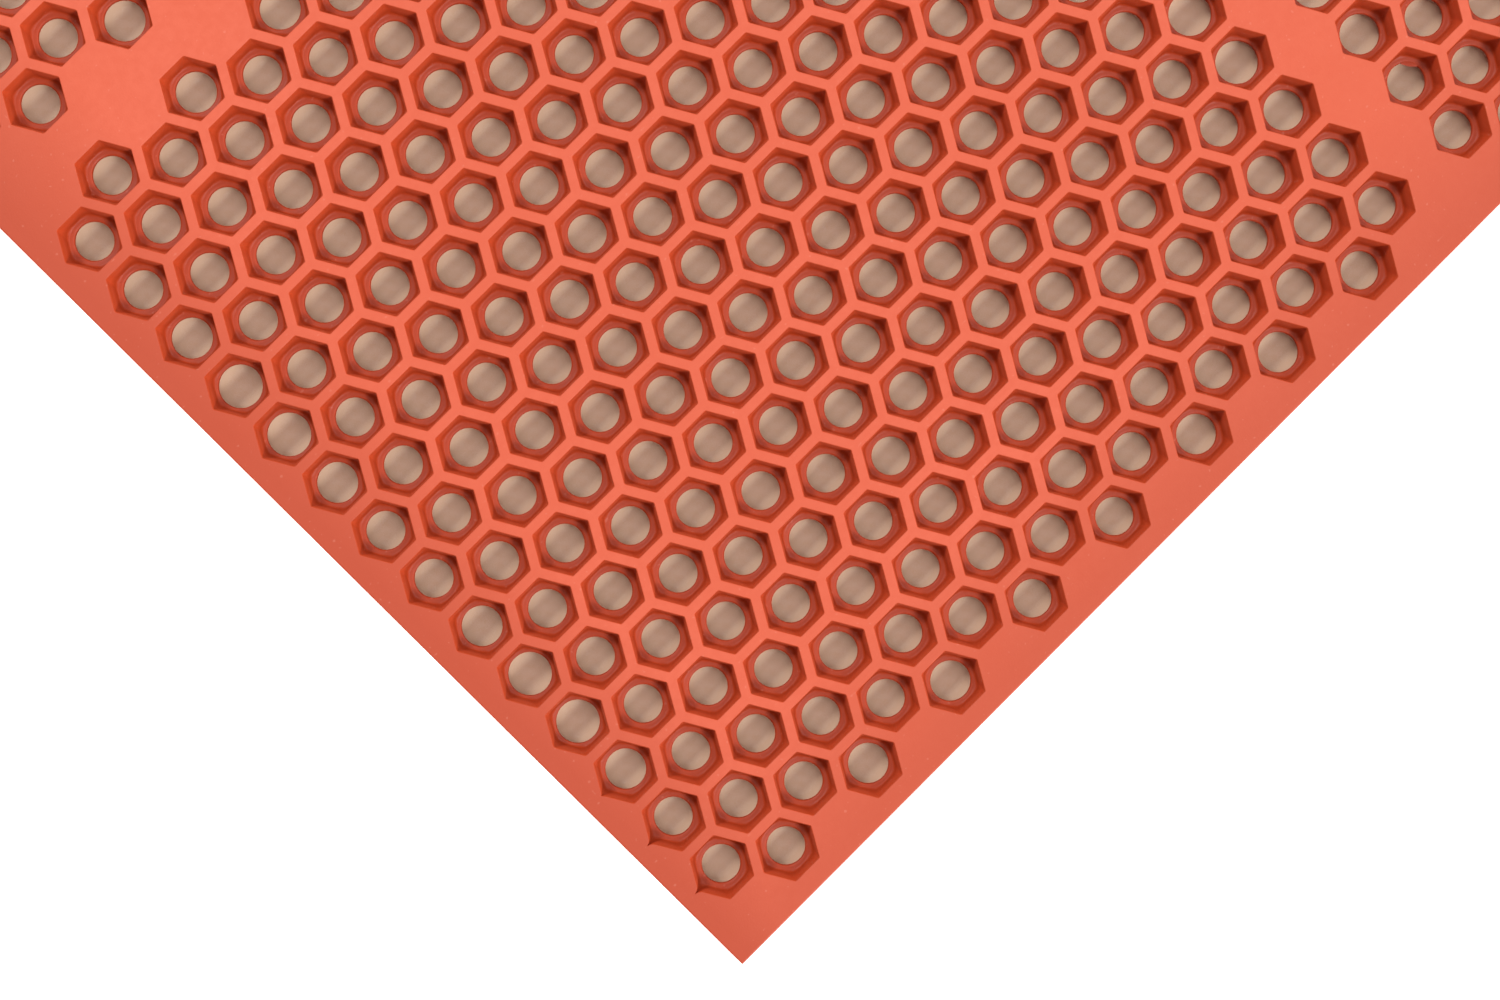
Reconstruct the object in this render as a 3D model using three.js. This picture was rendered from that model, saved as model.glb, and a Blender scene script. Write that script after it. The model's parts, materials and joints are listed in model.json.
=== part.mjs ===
// Anti fatigue drainage mat: one sheet of moulded rubber, 36 in x 60 in x 1/2 in.
//
// The sheet is laid out as square modules. Each module is a honeycomb panel. Smooth flush bands run
// between the panels, and a border half as wide runs round the outside. The mat rolls and folds
// lengthwise along the bands between its rows of modules, so each row of modules is one moving body,
// and the fold band between two rows is the strip of rubber that bends.
//
// Frame: millimetres, +Z up, X along the mat's length, Y across it, origin at the middle of the
// underside. The panels are plain slabs here: their outer form is the honeycomb's envelope.

import * as THREE from 'three';
import { ConvexGeometry } from 'three/addons/geometries/ConvexGeometry.js';

// Driving dimensions
const MODULE_PITCH = 304.8; // one module of the moulding, 12 in
const ROWS = 5; // modules along the length, X
const COLUMNS = 3; // modules across the width, Y
const THICKNESS = 12.7; // 1/2 in
const BAND_WIDTH = 12.4; // smooth flush strip between two honeycomb panels
const EDGE_CHAMFER = 0.8; // along the mat's top edge
const CLEARANCE = 0.3; // between neighbouring solids

// Sizes worked out from them
const LENGTH = ROWS * MODULE_PITCH;
const WIDTH = COLUMNS * MODULE_PITCH;
const PANEL_SIDE = MODULE_PITCH - BAND_WIDTH;
const STRIP_WIDTH = BAND_WIDTH - 2 * CLEARANCE;
const BORDER_WIDTH = BAND_WIDTH / 2 - CLEARANCE;
const EDGE_HEIGHT = THICKNESS - EDGE_CHAMFER;

const rubber = new THREE.MeshStandardMaterial({ color: 0xe8674a, roughness: 0.62, metalness: 0 });
const smoothRubber = new THREE.MeshStandardMaterial({ color: 0xe56a4e, roughness: 0.5, metalness: 0 });

const rowCentre = (row) => (row - (ROWS - 1) / 2) * MODULE_PITCH;
const columnCentre = (column) => (column - (COLUMNS - 1) / 2) * MODULE_PITCH;

function named(name, geometry, material, x, y) {
  const mesh = new THREE.Mesh(geometry, material);
  mesh.name = name;
  mesh.position.set(x, y, 0);
  return mesh;
}

// A box centred on its own origin in X and Y that stands on the floor.
function slab(length, width) {
  return new THREE.BoxGeometry(length, width, THICKNESS).translate(0, 0, THICKNESS / 2);
}

// The honeycomb field of one module.
function honeycombPanel(row, column) {
  const name = `honeycomb_panel_r${row + 1}_c${column + 1}`;
  return named(name, slab(PANEL_SIDE, PANEL_SIDE), rubber, rowCentre(row), columnCentre(column));
}

// The smooth band between two modules that lie side by side in one row.
function columnBand(row, column) {
  const name = `column_band_r${row + 1}_c${column + 1}`;
  const y = columnCentre(column) + MODULE_PITCH / 2;
  return named(name, slab(PANEL_SIDE, STRIP_WIDTH), smoothRubber, rowCentre(row), y);
}

// The smooth border beside one row of modules. side is -1 or 1: the -Y or the +Y edge of the mat.
function sideBorder(row, side) {
  const outline = new THREE.Shape();
  outline.moveTo(0, 0);
  outline.lineTo(side * BORDER_WIDTH, 0);
  outline.lineTo(side * BORDER_WIDTH, EDGE_HEIGHT);
  outline.lineTo(side * (BORDER_WIDTH - EDGE_CHAMFER), THICKNESS);
  outline.lineTo(0, THICKNESS);
  const geometry = new THREE.ExtrudeGeometry(outline, { depth: PANEL_SIDE, bevelEnabled: false });
  geometry.rotateX(Math.PI / 2).rotateZ(Math.PI / 2).translate(-PANEL_SIDE / 2, 0, 0);
  const name = `side_border_r${row + 1}_${side < 0 ? 'right' : 'left'}`;
  return named(name, geometry, smoothRubber, rowCentre(row), side * (WIDTH / 2 - BORDER_WIDTH));
}

// The strip across the whole width that bends when the mat folds between two rows of modules. Its
// ends have the side borders' section.
function foldBand(row) {
  const outline = new THREE.Shape();
  outline.moveTo(-WIDTH / 2, 0);
  outline.lineTo(WIDTH / 2, 0);
  outline.lineTo(WIDTH / 2, EDGE_HEIGHT);
  outline.lineTo(WIDTH / 2 - EDGE_CHAMFER, THICKNESS);
  outline.lineTo(-WIDTH / 2 + EDGE_CHAMFER, THICKNESS);
  outline.lineTo(-WIDTH / 2, EDGE_HEIGHT);
  const geometry = new THREE.ExtrudeGeometry(outline, { depth: STRIP_WIDTH, bevelEnabled: false });
  geometry.rotateX(Math.PI / 2).rotateZ(Math.PI / 2).translate(-STRIP_WIDTH / 2, 0, 0);
  const name = `fold_band_${row + 1}`;
  return named(name, geometry, smoothRubber, rowCentre(row) + MODULE_PITCH / 2, 0);
}

// The smooth border across one end of the mat, with both corners. end is -1 or 1 along X.
function endBorder(end) {
  const inner = end * (LENGTH / 2 - BORDER_WIDTH);
  const outer = end * (LENGTH / 2);
  const corners = [];
  for (const side of [-1, 1]) {
    for (const x of [inner, outer]) {
      for (const z of [0, EDGE_HEIGHT]) {
        corners.push(new THREE.Vector3(x, (side * WIDTH) / 2, z));
      }
    }
    for (const x of [inner, outer - end * EDGE_CHAMFER]) {
      corners.push(new THREE.Vector3(x, side * (WIDTH / 2 - EDGE_CHAMFER), THICKNESS));
    }
  }
  const name = end < 0 ? 'end_border_front' : 'end_border_back';
  return named(name, new ConvexGeometry(corners), smoothRubber, 0, 0);
}

const mat = new THREE.Group();
mat.name = 'anti_fatigue_mat';
for (let row = 0; row < ROWS; row += 1) {
  const moduleRow = new THREE.Group();
  moduleRow.name = `module_row_${row + 1}`;
  for (let column = 0; column < COLUMNS; column += 1) {
    moduleRow.add(honeycombPanel(row, column));
    if (column < COLUMNS - 1) {
      moduleRow.add(columnBand(row, column));
    }
  }
  moduleRow.add(sideBorder(row, -1), sideBorder(row, 1));
  mat.add(moduleRow);
  if (row < ROWS - 1) {
    mat.add(foldBand(row));
  }
}
mat.add(endBorder(-1), endBorder(1));

export default mat;
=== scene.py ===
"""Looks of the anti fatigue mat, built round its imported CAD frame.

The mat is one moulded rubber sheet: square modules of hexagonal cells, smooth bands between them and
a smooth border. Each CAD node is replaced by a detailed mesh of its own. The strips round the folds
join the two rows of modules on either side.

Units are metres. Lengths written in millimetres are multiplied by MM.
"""

import json
import math

import bmesh
import bpy
import numpy as np
from mathutils import Matrix, Vector
from mathutils.geometry import delaunay_2d_cdt

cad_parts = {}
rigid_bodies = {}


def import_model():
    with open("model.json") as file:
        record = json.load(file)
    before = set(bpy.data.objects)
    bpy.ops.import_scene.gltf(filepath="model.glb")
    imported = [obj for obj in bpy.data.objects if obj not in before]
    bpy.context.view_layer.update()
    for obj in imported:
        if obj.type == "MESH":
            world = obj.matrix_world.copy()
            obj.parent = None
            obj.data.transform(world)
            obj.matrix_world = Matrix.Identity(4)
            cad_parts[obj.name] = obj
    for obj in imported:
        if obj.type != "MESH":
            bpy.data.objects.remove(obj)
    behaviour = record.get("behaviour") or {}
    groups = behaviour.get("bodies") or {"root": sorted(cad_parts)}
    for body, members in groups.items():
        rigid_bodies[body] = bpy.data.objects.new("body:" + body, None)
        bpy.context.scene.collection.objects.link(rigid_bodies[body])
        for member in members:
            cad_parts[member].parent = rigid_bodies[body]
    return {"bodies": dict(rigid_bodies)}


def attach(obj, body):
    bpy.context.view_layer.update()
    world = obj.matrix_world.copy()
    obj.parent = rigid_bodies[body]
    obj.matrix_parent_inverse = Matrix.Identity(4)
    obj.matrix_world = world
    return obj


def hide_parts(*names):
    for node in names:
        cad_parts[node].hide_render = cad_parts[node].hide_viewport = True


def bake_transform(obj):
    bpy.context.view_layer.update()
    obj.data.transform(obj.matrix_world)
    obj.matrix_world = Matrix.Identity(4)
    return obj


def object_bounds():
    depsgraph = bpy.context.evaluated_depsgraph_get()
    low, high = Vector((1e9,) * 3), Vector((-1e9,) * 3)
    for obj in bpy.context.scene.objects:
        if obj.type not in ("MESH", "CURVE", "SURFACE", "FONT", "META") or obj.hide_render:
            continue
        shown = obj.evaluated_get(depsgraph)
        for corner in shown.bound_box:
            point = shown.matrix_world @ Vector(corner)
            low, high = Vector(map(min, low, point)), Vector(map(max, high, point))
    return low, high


MM = 0.001
TOLERANCE = 0.01 * MM
WELD_DISTANCE = 0.002 * MM
SHARP_ANGLE = 55  # degrees between two faces, from which their edge is sharp

# ---------------------------------------------------------------- the frame and the cell layout

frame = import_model()
cad_low, cad_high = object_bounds()
LENGTH = cad_high.x - cad_low.x
WIDTH = cad_high.y - cad_low.y
TOP = cad_high.z
ROWS = len(frame["bodies"])  # rows of modules, along X
MODULE = LENGTH / ROWS
COLUMNS = round(WIDTH / MODULE)

PITCHES_PER_MODULE = 15.465
CELL_PITCH = MODULE / PITCHES_PER_MODULE
ROW_PITCH = CELL_PITCH * math.sqrt(3) / 2
CELL_ROWS = 17  # in one module; even rows are set back half a pitch and hold one cell less
ODD_ROW_CELLS = 15
FIRST_ROW = (MODULE - (CELL_ROWS - 1) * ROW_PITCH) / 2
TILE_RADIUS = CELL_PITCH / math.sqrt(3)  # from a cell's centre to where three walls meet
FOLD_ROWS = 2  # rows of cells on each side of a fold that belong to its strip

# ---------------------------------------------------------------- the shape of a cell

POINTS = 30  # round each ring of a cell, five for each corner of the hexagon
OPENING = 8.3 * MM  # half the opening across flats
CORNER_RADIUS = 0.6 * MM
EDGE_ROUND = 0.25 * MM
SUPPORT = 0.7 * MM  # from a corner's arc to the next point on the flat, which keeps the flat flat
LEDGE = 5.2 * MM  # height of the ledge round the drain hole
WALL_FOOT = 0.9 * MM  # height above the ledge at which the wall starts to round into it
LOW_APOTHEM = 7.5 * MM  # half the opening across flats at the foot of the wall
MIDDLE_CORNER = 1.6 * MM  # the corners' radius halfway down the wall
LOW_CORNER = 3.2 * MM  # and at its foot
LEDGE_APOTHEM = 7.2 * MM
LEDGE_CORNER = 4.4 * MM
GROOVE_RADIUS = 6.9 * MM  # of the round part of the ledge
HOLE_RADIUS = 5.66 * MM
SLACK_HOLE = 5.95 * MM  # radius of the holes that came out a little wider
WIDE_HOLE = 6.35 * MM  # radius of the widest ones
HOLE_LAND = 1.2 * MM  # depth of the straight part of the hole below the ledge
HOLE_FLARE = 1.55 * MM  # how much wider the hole is at the floor than at its lip
WIDEST_FLARE = 7.5 * MM
FOOT_RADIUS = 8.4 * MM
WEB = 3.0 * MM  # height of the underside between the feet
# Moulding flaws, by module row, column, row of cells and cell: nicks in a cell's corner, and flash
NICKS = {(0, 0, 0, 0): 1.5 * MM, (0, 0, 0, 1): 1.4 * MM, (0, 0, 0, 2): 0.5 * MM}
FLASH = {(1, 0, 0, 1): (5, 68)}  # from and to which angle it lies round the hole, in degrees
FLASH_WIDTH = 1.1 * MM
FLASH_STEPS = 12

# ---------------------------------------------------------------- the border and the bands

BORDER = 4.4 * MM  # width of the border, and half the width of a band between modules
RIB = 2.8 * MM  # half the width of the rib under a band
RIB_EDGE = 0.3 * MM
BAND_POINT = 3.5 * MM  # from a fold to the free points on each side of it
STATION = 4 * MM  # spacing of the points along a border or a band that bends
# Outline of the border's section: distance in from the mat's edge, and height
BORDER_SECTION = [
    (BORDER, TOP),
    (0.5 * MM, TOP),
    (0.2 * MM, TOP - 0.06 * MM),
    (0.05 * MM, TOP - 0.2 * MM),
    (0.0 * MM, TOP - 0.5 * MM),
    (0.0 * MM, 0.5 * MM),
    (0.5 * MM, 0.0 * MM),
    (3.4 * MM, 0.0 * MM),
    (3.8 * MM, 0.4 * MM),
    (4.0 * MM, WEB),
    (BORDER, WEB),
]

# ---------------------------------------------------------------- colours

RED = (0.46, 0.052, 0.013)
# Darker red for the low walls and the ledges of the cells: painted shade.
SHADED_DEEP_RED = (0.29, 0.030, 0.006)
# Paler colours for the flat top: painted sheen, in random pale and red blotches of tone.
SHEENED_TOP = (0.404, 0.064, 0.028)
PALE_SHEENED_TOP = (0.433, 0.074, 0.036)
RED_SHEENED_TOP = (0.400, 0.060, 0.026)
# Darker top near the mat's outer edges: painted shade.
EDGE_SHADED_TOP = (0.300, 0.040, 0.015)
DUST = (0.55, 0.22, 0.16)
PALE = (0.95, 0.95, 0.95)
# Floor colour in the drain holes: painted shade, warmed by light bounced off the rubber.
SHADED_FLOOR_BEIGE = (0.58, 0.425, 0.29)
EDGE_FADE = 45 * MM  # from the mat's edges to where the top's painted shade ends and it has its full tone
SPECULAR = 0.24
CELL_REACH = 25 * MM  # how far up the floor's painted shade looks for what closes it in


def direction(degrees):
    return np.array([math.cos(math.radians(degrees)), math.sin(math.radians(degrees))])


def rounded_hexagon(apothem, corner):
    """Points of a hexagon with round corners, which point along X, anticlockwise."""
    points = []
    for angle in range(0, 360, 60):
        centre = (apothem - corner) / math.cos(math.radians(30)) * direction(angle)
        start = centre + corner * direction(angle - 30)
        end = centre + corner * direction(angle + 30)
        points.append(start - SUPPORT * direction(angle + 60))
        points.append(start)
        points.append(centre + corner * direction(angle))
        points.append(end)
        points.append(end + SUPPORT * direction(angle + 120))
    return np.array(points)


def circle(radius):
    """As many points as a rounded_hexagon, evenly spaced, the third of them on the first corner."""
    step = 360 / POINTS
    return radius * np.array([direction((i - 2) * step) for i in range(POINTS)])


def ring(outline, height):
    return np.column_stack([outline, np.full(len(outline), height)])


def cell_rings(hole, ear):
    """The rings of one cell, from its top edge down to the underside, round its own centre. ear is how
    far a nick runs out of the corner that points to -X."""
    low_wall = LEDGE + WALL_FOOT
    middle = (TOP - EDGE_ROUND + low_wall) / 2
    flare = min(hole + HOLE_FLARE, WIDEST_FLARE)
    slope = GROOVE_RADIUS - hole
    rings = np.array([
        # The rounded top edge and the wall
        ring(rounded_hexagon(OPENING + EDGE_ROUND, CORNER_RADIUS + EDGE_ROUND), TOP),
        ring(rounded_hexagon(OPENING + 0.3 * EDGE_ROUND, CORNER_RADIUS), TOP - 0.3 * EDGE_ROUND),
        ring(rounded_hexagon(OPENING, CORNER_RADIUS), TOP - EDGE_ROUND),
        ring(rounded_hexagon((OPENING + LOW_APOTHEM) / 2, MIDDLE_CORNER), middle),
        ring(rounded_hexagon(LOW_APOTHEM, LOW_CORNER), low_wall),
        # The ledge, its shallow groove and the lip of the hole
        ring(rounded_hexagon(LEDGE_APOTHEM, LEDGE_CORNER), LEDGE + 0.2 * MM),
        ring(circle(GROOVE_RADIUS), LEDGE + 0.12 * MM),
        ring(circle(hole + 0.5 * slope), LEDGE + 0.1 * MM),
        ring(circle(hole + 0.12 * slope), LEDGE - 0.05 * MM),
        ring(circle(hole), LEDGE - 0.35 * MM),
        # The hole and the foot round it
        ring(circle(hole), LEDGE - HOLE_LAND),
        ring(circle(flare), 0.0),
        ring(circle(FOOT_RADIUS), 0.0),
        ring(circle(FOOT_RADIUS + 0.25 * MM), WEB - 0.3 * MM),
        ring(circle(FOOT_RADIUS + 0.5 * MM), WEB),
    ])
    corner = slice(POINTS // 2, POINTS // 2 + 5)
    depth = np.array([1, 1, 1, 0.8, 0.5])
    rings[: len(depth), corner, 0] -= ear * np.outer(depth, [0, 0.3, 1, 0.3, 0])
    return rings


def hole_radius(row, cell, cells):
    """The drain holes were made wider at a few places along the edge of each module."""
    from_end = min(cell, cells - 1 - cell)
    from_side = min(row, CELL_ROWS - 1 - row)
    if from_side == 0 and from_end in (3, 4):
        return WIDE_HOLE
    if from_side == 0 and from_end in (2, 5):
        return SLACK_HOLE
    if from_side in (3, 5) and from_end == 0:
        return SLACK_HOLE
    return HOLE_RADIUS


def cell_place(module_row, column, row, cell):
    """The centre of a cell of one module."""
    cells = ODD_ROW_CELLS if row % 2 else ODD_ROW_CELLS - 1
    x = cad_low.x + module_row * MODULE + FIRST_ROW + row * ROW_PITCH
    first = cad_low.y + column * MODULE + (MODULE - (cells - 1) * CELL_PITCH) / 2
    return x, first + cell * CELL_PITCH


def module_cells(module_row, column, rows):
    """(x, y, hole radius, nick) of the cells in some rows of one module."""
    found = []
    for row in rows:
        cells = ODD_ROW_CELLS if row % 2 else ODD_ROW_CELLS - 1
        for cell in range(cells):
            nick = NICKS.get((module_row, column, row, cell), 0.0)
            hole = hole_radius(row, cell, cells)
            found.append((*cell_place(module_row, column, row, cell), hole, nick))
    return found


# ---------------------------------------------------------------- mesh building


class Solid:
    """Points and faces of one piece, collected part by part."""

    def __init__(self):
        self.points = []
        self.faces = []
        self.count = 0

    def add_points(self, points):
        first = self.count
        self.points.append(np.asarray(points, float).reshape(-1, 3))
        self.count += len(self.points[-1])
        return first

    def add_faces(self, faces):
        self.faces.extend(faces)

    def object(self, name):
        """Makes the Blender object, welds points that meet and makes the edges of flat faces sharp."""
        mesh = bpy.data.meshes.new(name)
        mesh.from_pydata(np.concatenate(self.points), [], self.faces)
        welded = bmesh.new()
        welded.from_mesh(mesh)
        bmesh.ops.remove_doubles(welded, verts=welded.verts, dist=WELD_DISTANCE)
        welded.to_mesh(mesh)
        welded.free()
        add_height(mesh)
        mesh.shade_smooth()
        mark_sharp(mesh)
        made = bpy.data.objects.new(name, mesh)
        bpy.context.scene.collection.objects.link(made)
        return made


def add_height(mesh):
    """Stores each point's height as a share of the mat's thickness, for the material."""
    points = np.zeros(len(mesh.vertices) * 3, np.float32)
    mesh.vertices.foreach_get("co", points)
    attribute = mesh.attributes.new("height", "FLOAT", "POINT")
    attribute.data.foreach_set("value", points[2::3] / TOP)


def mark_sharp(mesh):
    """Sharp edges: those between a horizontal face and any other, and those beyond SHARP_ANGLE."""
    mesh.set_sharp_from_angle(angle=math.radians(SHARP_ANGLE))
    normals = np.zeros(len(mesh.polygons) * 3, np.float32)
    mesh.polygons.foreach_get("normal", normals)
    flat = np.abs(normals.reshape(-1, 3)[:, 2]) > 0.99999
    sides = np.zeros(len(mesh.polygons), np.int32)
    mesh.polygons.foreach_get("loop_total", sides)
    edge_of_loop = np.zeros(len(mesh.loops), np.int32)
    mesh.loops.foreach_get("edge_index", edge_of_loop)
    flat_loops = np.repeat(flat, sides)
    flat_count = np.bincount(edge_of_loop[flat_loops], minlength=len(mesh.edges))
    other_count = np.bincount(edge_of_loop[~flat_loops], minlength=len(mesh.edges))
    attribute = mesh.attributes["sharp_edge"]
    sharp = np.zeros(len(mesh.edges), bool)
    attribute.data.foreach_get("value", sharp)
    attribute.data.foreach_set("value", sharp | ((flat_count > 0) & (other_count > 0)))


def add_cells(solid, cells):
    """Adds the walls, ledges, holes and feet of the cells. Returns the points of their rims at the top
    and at the underside, a row for each cell."""
    kinds = {kind: cell_rings(*kind) for kind in {cell[2:] for cell in cells}}
    points = np.array([kinds[cell[2:]] + np.array([cell[0], cell[1], 0]) for cell in cells])
    first = solid.add_points(points)
    index = first + np.arange(points[..., 0].size).reshape(points.shape[:3])
    after = np.roll(index, -1, axis=2)
    quads = np.stack([index[:, :-1], after[:, :-1], after[:, 1:], index[:, 1:]], axis=-1)
    solid.add_faces(quads.reshape(-1, 4).tolist())
    return index[:, 0], index[:, -1]


def add_flash(solid, centre, start, end):
    """A thin crescent of flash that stands in from a drain hole's lip."""
    sections = []
    for step in range(1, FLASH_STEPS):
        share = step / FLASH_STEPS
        turn = direction(start + (end - start) * share)
        inward = FLASH_WIDTH * math.sin(math.pi * share)
        profile = [
            (HOLE_RADIUS + 0.5 * MM, LEDGE),
            (HOLE_RADIUS + 0.5 * MM, LEDGE - 0.3 * MM),
            (HOLE_RADIUS - inward, LEDGE - 0.25 * MM),
            (HOLE_RADIUS - inward, LEDGE - 0.05 * MM),
            (HOLE_RADIUS, LEDGE + 0.1 * MM),
        ]
        sections.append([(*(centre + radius * turn), height) for radius, height in profile])
    add_sweep(solid, sections)


def add_plane(solid, outline, holes, inside, upward):
    """Fills the flat region between an outline and the holes in it. outline and inside are numbers of
    points, holes has a row of them for each hole. A triangle lies in a hole if it joins three of the
    hole's points in the order in which they run round it."""
    used = np.concatenate([outline, np.ravel(holes), inside]).astype(int)
    where = np.concatenate(solid.points)[used]
    edges = [(i, (i + 1) % len(outline)) for i in range(len(outline))]
    size = holes.shape[1]
    for start in range(len(outline), len(outline) + holes.size, size):
        edges += [(start + i, start + (i + 1) % size) for i in range(size)]
    corners = [Vector((x, y)) for x, y in where[:, :2] / MM]
    filled = delaunay_2d_cdt(corners, edges, [], 1, 1e-5)
    origin = [found[0] for found in filled[3]]
    triangles = np.array([[origin[i] for i in face] for face in filled[2]])
    owner, spot = np.divmod(triangles - len(outline), size)
    same = (owner == owner[:, :1]).all(axis=1) & (owner[:, 0] >= 0) & (owner[:, 0] < len(holes))
    turns = (np.roll(spot, -1, axis=1) - spot) % size
    in_hole = same & (turns.sum(axis=1) == size)
    triangles = used[triangles[~in_hole]]
    if not upward:
        triangles = triangles[:, ::-1]
    solid.add_faces(triangles.tolist())


def add_sheet(solid, outline, cells, inside, open_sides):
    """A stretch of honeycomb: cells, the flat tops of their walls, the web between the feet, and
    upright faces round the outline except where open_sides says that another part joins on."""
    top_rims, bottom_rims = add_cells(solid, cells)
    outline = np.asarray(outline, float)
    inside = np.asarray(inside, float).reshape(-1, 2)
    levels = []
    for height in (TOP, WEB):
        edge = solid.add_points(ring(outline, height))
        free = solid.add_points(ring(inside, height))
        levels.append((edge + np.arange(len(outline)), free + np.arange(len(inside))))
    (top, top_free), (bottom, bottom_free) = levels
    add_plane(solid, top, top_rims, top_free, upward=True)
    add_plane(solid, bottom, bottom_rims, bottom_free, upward=False)
    for i in range(len(outline)):
        j = (i + 1) % len(outline)
        if not open_sides(outline[i], outline[j]):
            solid.add_faces([[int(top[i]), int(bottom[i]), int(bottom[j]), int(top[j])]])


def add_sweep(solid, sections, skip_last=False, flip=False):
    """Joins a row of sections, each a closed loop of equally many points, into a solid. skip_last
    leaves out the faces between each section's last and first point, flip turns the faces over."""
    sections = np.asarray(sections, float)
    first = solid.add_points(sections)
    count, size = sections.shape[:2]
    index = first + np.arange(count * size).reshape(count, size)
    steps = size - 1 if skip_last else size
    faces = []
    for station in range(count - 1):
        for k in range(steps):
            n = (k + 1) % size
            a, b = index[station], index[station + 1]
            faces.append([int(a[k]), int(a[n]), int(b[n]), int(b[k])])
    faces.append([int(i) for i in index[0][::-1]])
    faces.append([int(i) for i in index[-1]])
    if flip:
        faces = [face[::-1] for face in faces]
    solid.add_faces(faces)


# ---------------------------------------------------------------- the pieces


def seam_x(row, side):
    """Distance along a module of the seam before (side -1) or after (side 1) a row of cells, where
    the seam is nearest to that row."""
    return FIRST_ROW + row * ROW_PITCH + side * TILE_RADIUS / 2


def zigzag(module_row, column, row, side):
    """The seam through the middle of the walls before or after an odd row of cells, towards +Y."""
    base = cad_low.x + module_row * MODULE
    near = base + seam_x(row, side)
    far = near + side * TILE_RADIUS / 2
    start = cad_low.y + column * MODULE
    first = start + (MODULE - (ODD_ROW_CELLS - 1) * CELL_PITCH) / 2
    points = [(near, start + BORDER)]
    for cell in range(ODD_ROW_CELLS):
        y = first + cell * CELL_PITCH
        points.append((far, y))
        if cell < ODD_ROW_CELLS - 1:
            points.append((near, y + CELL_PITCH / 2))
    points.append((near, start + MODULE - BORDER))
    return points


def straight(module_row, column, x):
    start = cad_low.y + column * MODULE
    return [(x, start + BORDER), (x, start + MODULE - BORDER)]


def panel_rows(module_row):
    first = 0 if module_row == 0 else FOLD_ROWS
    last = CELL_ROWS if module_row == ROWS - 1 else CELL_ROWS - FOLD_ROWS
    return range(first, last)


def panel_span(module_row):
    """The stretch along X of a row of modules that doesn't bend."""
    base = cad_low.x + module_row * MODULE
    start = base + seam_x(FOLD_ROWS - 1, 1) if module_row else cad_low.x + BORDER
    end = base + seam_x(CELL_ROWS - FOLD_ROWS, -1)
    if module_row == ROWS - 1:
        end = cad_high.x - BORDER
    return start, end


def rigid_stations(module_row):
    """Where the sections of the bands and borders beside a row's panels lie, along X."""
    start, end = panel_span(module_row)
    return np.linspace(start, end, max(2, round((end - start) / (4 * STATION))))


def honeycomb_panel(module_row, column):
    start, end = panel_span(module_row)
    low = straight(module_row, column, start)
    high = straight(module_row, column, end)
    if module_row:
        low = zigzag(module_row, column, FOLD_ROWS - 1, 1)
    if module_row < ROWS - 1:
        high = zigzag(module_row, column, CELL_ROWS - FOLD_ROWS, -1)
    solid = Solid()
    cells = module_cells(module_row, column, panel_rows(module_row))
    add_sheet(solid, high + low[::-1], cells, [], open_sides=lambda a, b: False)
    return solid.object(f"mat_panel_r{module_row + 1}_c{column + 1}")


def rib_section(x, centre, root):
    """Section across the rib under a band, from the -Y side round to the +Y side. root is the height
    at which it starts."""
    half = [(RIB + RIB_EDGE, root), (RIB, RIB_EDGE), (RIB - RIB_EDGE, 0.0)]
    return [(x, centre - y, z) for y, z in half] + [(x, centre + y, z) for y, z in half[::-1]]


def band_section(x, centre):
    """Section across a smooth band between two columns of modules, at x."""
    low = [(x, centre - BORDER, TOP), (x, centre - BORDER, WEB)]
    high = [(x, centre + BORDER, WEB), (x, centre + BORDER, TOP)]
    return low + rib_section(x, centre, WEB) + high


def column_band(module_row, column):
    centre = cad_low.y + (column + 1) * MODULE
    solid = Solid()
    add_sweep(solid, [band_section(x, centre) for x in rigid_stations(module_row)])
    return solid.object(f"mat_column_band_r{module_row + 1}_c{column + 1}")


def side_section(x, side):
    """Section of the border at the -Y side (side -1) or the +Y side (side 1), at x."""
    edge = cad_low.y if side < 0 else cad_high.y
    return [(x, edge - side * inward, z) for inward, z in BORDER_SECTION]


def side_border(module_row, side):
    solid = Solid()
    add_sweep(solid, [side_section(x, side) for x in rigid_stations(module_row)], flip=side > 0)
    name = "right" if side < 0 else "left"
    return solid.object(f"mat_side_border_r{module_row + 1}_{name}")


def end_border(end):
    """The border across one end of the mat, with both mitred corners."""
    edge = cad_low.x if end < 0 else cad_high.x
    inner = edge - end * BORDER
    sections = []
    for side in (-1, 1):
        corner = cad_low.y if side < 0 else cad_high.y
        turn = [side_section(inner, side)]
        for along, across in ((SUPPORT, 0), (0, 0), (0, SUPPORT)):
            turn.append([
                (edge - end * min(d + along, BORDER), corner - side * min(d + across, BORDER), z)
                for d, z in BORDER_SECTION
            ])
        sections.append(turn)
    ys = np.linspace(cad_low.y + 2 * BORDER, cad_high.y - 2 * BORDER, round(WIDTH / (4 * STATION)))
    middle = [[(edge - end * d, y, z) for d, z in BORDER_SECTION] for y in ys]
    solid = Solid()
    add_sweep(solid, sections[0] + middle + sections[1][::-1], flip=end < 0)
    return solid.object("mat_end_border_front" if end < 0 else "mat_end_border_back")


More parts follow.
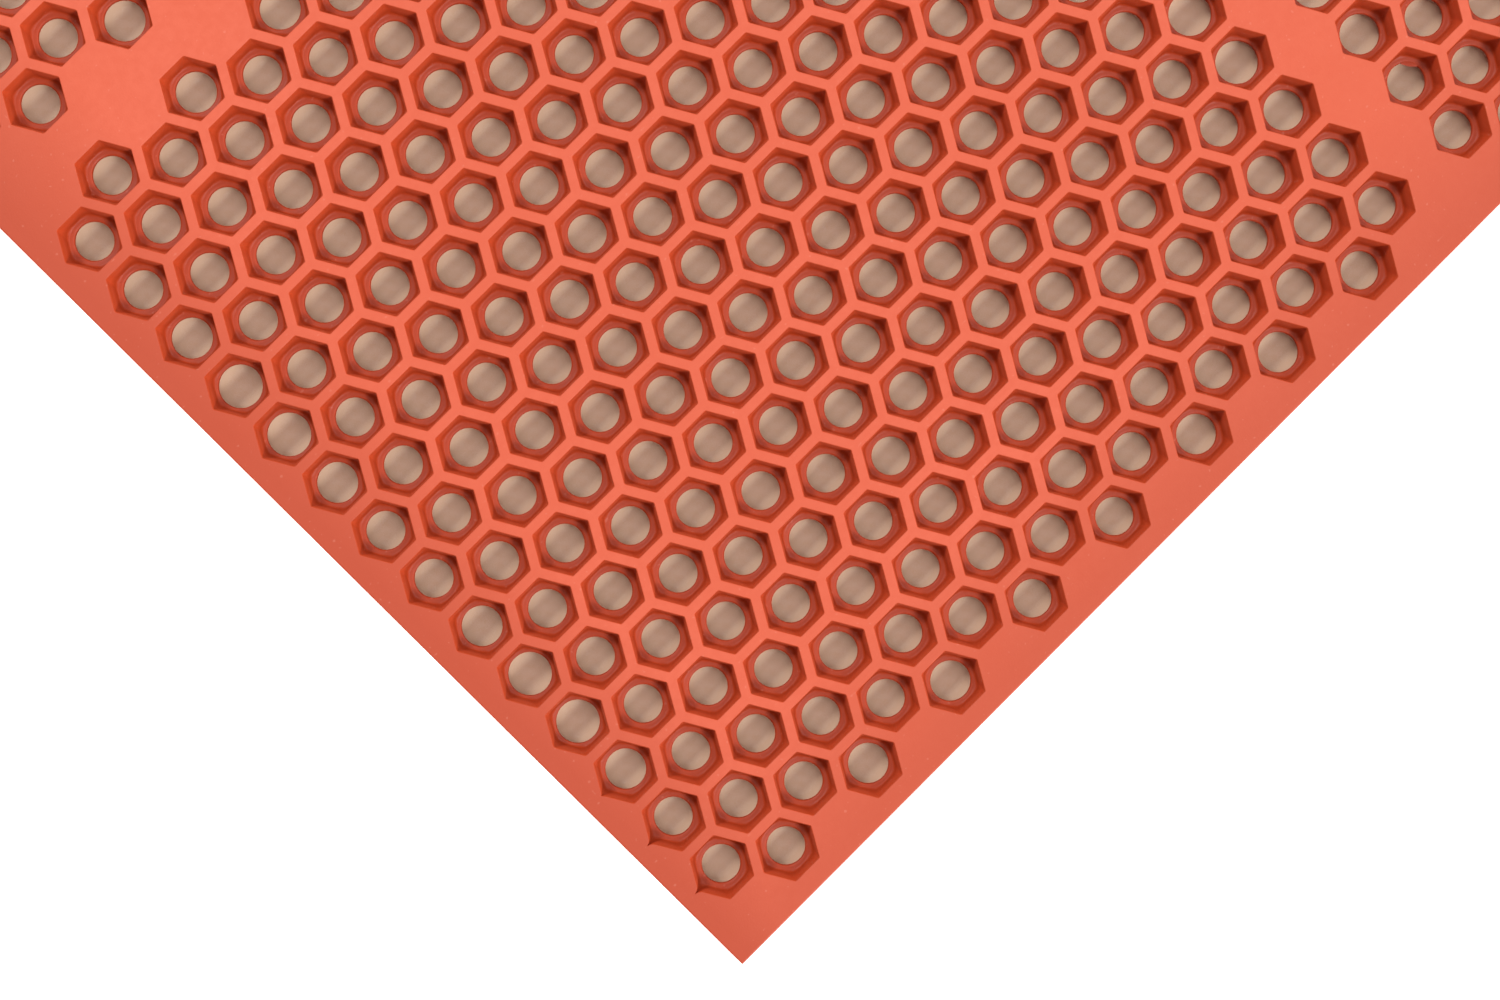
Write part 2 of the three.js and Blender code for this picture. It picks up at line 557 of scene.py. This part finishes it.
def fold_strip(number):
    """The strip between module rows number and number + 1: the smooth band and the rows of cells next
    to it, over the whole width."""
    x = cad_low.x + (number + 1) * MODULE
    low_row = CELL_ROWS - FOLD_ROWS
    start = cad_low.x + number * MODULE + seam_x(low_row, -1)
    end = x + seam_x(FOLD_ROWS - 1, 1)
    steps = round((end - start) / STATION)
    stations = np.linspace(start, end, steps + 1)
    low = []
    high = []
    cells = []
    for column in range(COLUMNS):
        low += zigzag(number, column, low_row, -1)
        high += zigzag(number + 1, column, FOLD_ROWS - 1, 1)
        cells += module_cells(number, column, range(low_row, CELL_ROWS))
        cells += module_cells(number + 1, column, range(FOLD_ROWS))
    low[0] = (start, cad_low.y + BORDER)
    right = [(s, cad_low.y + BORDER) for s in stations[1:-1]]
    left = [(s, cad_high.y - BORDER) for s in stations[1:-1]]
    outline = low[::-1] + right + high + left[::-1]
    solid = Solid()
    add_sheet(solid, outline, cells, band_points(x, stations), on_long_side)
    for side in (-1, 1):
        sections = [side_section(s, side) for s in stations]
        add_sweep(solid, sections, skip_last=True, flip=side > 0)
    for column in range(1, COLUMNS):
        centre = cad_low.y + column * MODULE
        add_sweep(solid, [rib_section(s, centre, WEB + RIB_EDGE) for s in stations])
    for cell, angles in FLASH.items():
        if cell[0] == number + 1:
            add_flash(solid, np.array(cell_place(*cell)), *angles)
    return solid.object(f"mat_fold_strip_{number + 1}")


def on_long_side(a, b):
    """Whether a stretch of outline lies along the inner line of a side border."""
    for edge in (cad_low.y + BORDER, cad_high.y - BORDER):
        if max(abs(a[1] - edge), abs(b[1] - edge)) < TOLERANCE:
            return True
    return False


def band_points(x, stations):
    """Free points on the smooth bands of a fold strip, spread over the bands as well as round them."""
    points = []
    across = np.arange(cad_low.y + 2 * BORDER, cad_high.y - BORDER, 1.5 * STATION)
    for y in across:
        points += [(x - BAND_POINT, y), (x, y + 0.5 * STATION), (x + BAND_POINT, y)]
    for column in range(1, COLUMNS):
        y = cad_low.y + column * MODULE
        points += [(s, y) for s in stations[1:-1] if abs(s - x) > 2 * BORDER]
    return points


# ---------------------------------------------------------------- materials

MIX_COLOURS = (6, 7)  # a Mix node's sockets for colours
MIX_RESULT = 2


def new_material(name):
    """Returns a new material, its node tree and its shader."""
    material = bpy.data.materials.new(name)
    material.use_nodes = True
    return material, material.node_tree, material.node_tree.nodes["Principled BSDF"]


def noise(tree, scale, detail=3.0):
    """A noise pattern in the mat's own coordinates, with scale in features per metre."""
    coordinates = tree.nodes.new("ShaderNodeTexCoord")
    texture = tree.nodes.new("ShaderNodeTexNoise")
    texture.inputs["Scale"].default_value = scale
    texture.inputs["Detail"].default_value = detail
    tree.links.new(coordinates.outputs["Object"], texture.inputs["Vector"])
    return texture.outputs["Fac"]


def remap(tree, value, low, high, new_low, new_high):
    node = tree.nodes.new("ShaderNodeMapRange")
    node.inputs["From Min"].default_value = low
    node.inputs["From Max"].default_value = high
    node.inputs["To Min"].default_value = new_low
    node.inputs["To Max"].default_value = new_high
    tree.links.new(value, node.inputs["Value"])
    return node.outputs["Result"]


def mixed(tree, factor, first, second):
    """Mixes two colours, each a colour value or another node's output."""
    node = tree.nodes.new("ShaderNodeMix")
    node.data_type = "RGBA"
    tree.links.new(factor, node.inputs["Factor"])
    for index, colour in zip(MIX_COLOURS, (first, second)):
        if isinstance(colour, tuple):
            node.inputs[index].default_value = (*colour, 1)
        else:
            tree.links.new(colour, node.inputs[index])
    return node.outputs[MIX_RESULT]


def bump(tree, height, depth, below=None):
    """A bump of the given depth, on top of another bump."""
    node = tree.nodes.new("ShaderNodeBump")
    node.inputs["Strength"].default_value = 1.0
    node.inputs["Distance"].default_value = depth
    tree.links.new(height, node.inputs["Height"])
    if below:
        tree.links.new(below, node.inputs["Normal"])
    return node.outputs["Normal"]


def math_node(tree, operation, *values):
    node = tree.nodes.new("ShaderNodeMath")
    node.operation = operation
    for socket, value in zip(node.inputs, values):
        if isinstance(value, (int, float)):
            socket.default_value = value
        else:
            tree.links.new(value, socket)
    return node.outputs[0]


def edge_shade(tree):
    """Painted shade on the top near the mat's outer edges: rises from 0 at the outer edges to 1
    further in. The ends are darker than the sides.
    """
    coordinates = tree.nodes.new("ShaderNodeTexCoord")
    split = tree.nodes.new("ShaderNodeSeparateXYZ")
    tree.links.new(coordinates.outputs["Object"], split.inputs[0])
    tones = []
    for axis, size, at_edge in (("X", LENGTH, 0.0), ("Y", WIDTH, 0.3)):
        from_middle = math_node(tree, "ABSOLUTE", split.outputs[axis])
        tones.append(remap(tree, from_middle, size / 2 - EDGE_FADE, size / 2 - BORDER, 1.0, at_edge))
    return math_node(tree, "MINIMUM", *tones)


def rubber():
    """Moulded rubber: saturated inside the cells and darker low in them as painted shade, with a paler
    flat top as painted sheen, in random blotches of tone, and dust on the flat top.
    """
    material, tree, shader = new_material("moulded_rubber")
    height = tree.nodes.new("ShaderNodeAttribute")
    height.attribute_name = "height"
    top = remap(tree, height.outputs["Fac"], 0.985, 1.0, 0.0, 1.0)
    # Painted shade: the walls turn darker red towards the ledge, deep in the cells.
    painted_depth_shade = remap(tree, height.outputs["Fac"], 0.5, 0.75, 0.0, 1.0)
    mottle = remap(tree, noise(tree, 25), 0.3, 0.7, -0.1, 0.1)
    body = mixed(tree, math_node(tree, "ADD", painted_depth_shade, mottle), SHADED_DEEP_RED, RED)
    # Painted sheen: the flat top is paler than the walls, in random blotches of tone.
    top_sheen = mixed(tree, remap(tree, noise(tree, 14, 6), 0.3, 0.7, 0.0, 1.0), SHEENED_TOP, PALE_SHEENED_TOP)
    top_sheen = mixed(tree, remap(tree, noise(tree, 420, 2), 0.35, 0.65, 0.0, 0.5), top_sheen, RED_SHEENED_TOP)
    # Painted shade: the top darkens towards the mat's outer edges.
    top_sheen = mixed(tree, edge_shade(tree), EDGE_SHADED_TOP, top_sheen)
    dust = remap(tree, noise(tree, 800, 0), 0.78, 0.84, 0.0, 0.15)
    colour = mixed(tree, dust, mixed(tree, top, body, top_sheen), DUST)
    tree.links.new(colour, shader.inputs["Base Color"])
    shader.inputs["Specular IOR Level"].default_value = SPECULAR
    tree.links.new(remap(tree, noise(tree, 60), 0.3, 0.7, 0.47, 0.60), shader.inputs["Roughness"])
    wave = bump(tree, noise(tree, 90, 2), 0.10 * MM)
    tree.links.new(bump(tree, noise(tree, 1500, 2), 0.03 * MM, wave), shader.inputs["Normal"])
    return material


def floor_material():
    """A pale floor with painted shade: it turns beige where the mat's cells close it in, warmed as by
    light bounced off the red rubber.
    """
    material, tree, shader = new_material("pale_floor")
    enclosure = tree.nodes.new("ShaderNodeAmbientOcclusion")
    enclosure.inputs["Distance"].default_value = CELL_REACH
    # Painted shade: beige where the cells close the floor in, pale elsewhere.
    openness = remap(tree, enclosure.outputs["AO"], 0.38, 0.5, 0.0, 1.0)
    tree.links.new(mixed(tree, openness, SHADED_FLOOR_BEIGE, PALE), shader.inputs["Base Color"])
    shader.inputs["Roughness"].default_value = 0.8
    return material


# ---------------------------------------------------------------- stage, lights and camera

FLOOR_HALF = 6.0
WORLD_STRENGTH = 0.08
# Name, azimuth from +X towards +Y, elevation, strength and angular size of each light, in degrees
LIGHTS = [
    ("overhead", 0, 86, 1.6, 64),
    ("left", 90, 45, 2.4, 11),
    ("right", -90, 45, 3.1, 11),
    ("far", -15, 38, 1.5, 24),
]
# From the mat's front right corner
CAMERA_PLACE = Vector((0.0843, 0.1272, 0.80))
CAMERA_TARGET = Vector((0.0969, 0.0939, 0))
CAMERA_LENS = 66.4
SENSOR_WIDTH = 36


def make_floor():
    mesh = bpy.data.meshes.new("floor")
    corners = [(x * FLOOR_HALF, y * FLOOR_HALF, 0) for x, y in ((-1, -1), (1, -1), (1, 1), (-1, 1))]
    mesh.from_pydata(corners, [], [(0, 1, 2, 3)])
    floor = bpy.data.objects.new("floor", mesh)
    mesh.materials.append(floor_material())
    bpy.context.scene.collection.objects.link(floor)


def make_sun(name, azimuth, elevation, strength, angle):
    """A soft light from far away."""
    data = bpy.data.lights.new(name, "SUN")
    data.energy = strength
    data.angle = math.radians(angle)
    sun = bpy.data.objects.new(name, data)
    a, e = math.radians(azimuth), math.radians(elevation)
    towards = Vector((math.cos(a) * math.cos(e), math.sin(a) * math.cos(e), math.sin(e)))
    sun.rotation_mode = "QUATERNION"
    sun.rotation_quaternion = towards.to_track_quat("Z", "Y")
    bpy.context.scene.collection.objects.link(sun)


def make_lights():
    for light in LIGHTS:
        make_sun(*light)
    world = bpy.data.worlds.new("studio")
    bpy.context.scene.world = world
    world.use_nodes = True
    background = world.node_tree.nodes["Background"]
    background.inputs["Color"].default_value = (1, 1, 1, 1)
    background.inputs["Strength"].default_value = WORLD_STRENGTH


def make_camera():
    """Looks almost straight down at the mat's front right corner."""
    corner = Vector((cad_low.x, cad_low.y, TOP))
    eye = corner + CAMERA_PLACE
    back = (eye - corner - CAMERA_TARGET).normalized()
    right = Vector((1, -1, 0)).normalized()
    right = (right - right.dot(back) * back).normalized()
    up = back.cross(right)
    data = bpy.data.cameras.new("camera")
    data.lens = CAMERA_LENS
    data.sensor_width = SENSOR_WIDTH
    camera = bpy.data.objects.new("camera", data)
    axes = Matrix((right, up, back)).transposed().to_4x4()
    camera.matrix_world = Matrix.Translation(eye) @ axes
    bpy.context.scene.collection.objects.link(camera)
    bpy.context.scene.camera = camera


# ---------------------------------------------------------------- putting it together


def take_place(piece, node, body, material):
    """Lets a piece stand for a CAD node and ride on that node's body."""
    piece.data.materials.append(material)
    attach(piece, body)
    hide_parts(node)


def build_rows(material):
    """The pieces that don't bend."""
    for module_row in range(ROWS):
        body = f"module_row_{module_row + 1}"
        for column in range(COLUMNS):
            node = f"honeycomb_panel_r{module_row + 1}_c{column + 1}"
            piece = honeycomb_panel(module_row, column)
            take_place(piece, node, body, material)
        for column in range(COLUMNS - 1):
            node = f"column_band_r{module_row + 1}_c{column + 1}"
            take_place(column_band(module_row, column), node, body, material)
        for side, name in ((-1, "right"), (1, "left")):
            node = f"side_border_r{module_row + 1}_{name}"
            take_place(side_border(module_row, side), node, body, material)
    take_place(end_border(-1), "end_border_front", "module_row_1", material)
    take_place(end_border(1), "end_border_back", f"module_row_{ROWS}", material)


def build_folds(material):
    """The strips at the folds. Each reaches past the first row of cells on each side."""
    for number in range(ROWS - 1):
        strip = fold_strip(number)
        strip.data.materials.append(material)
        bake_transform(strip)
        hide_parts(f"fold_band_{number + 1}")


bpy.context.scene.view_settings.view_transform = "Standard"
make_camera()
make_lights()
make_floor()
moulded_rubber = rubber()
build_rows(moulded_rubber)
build_folds(moulded_rubber)
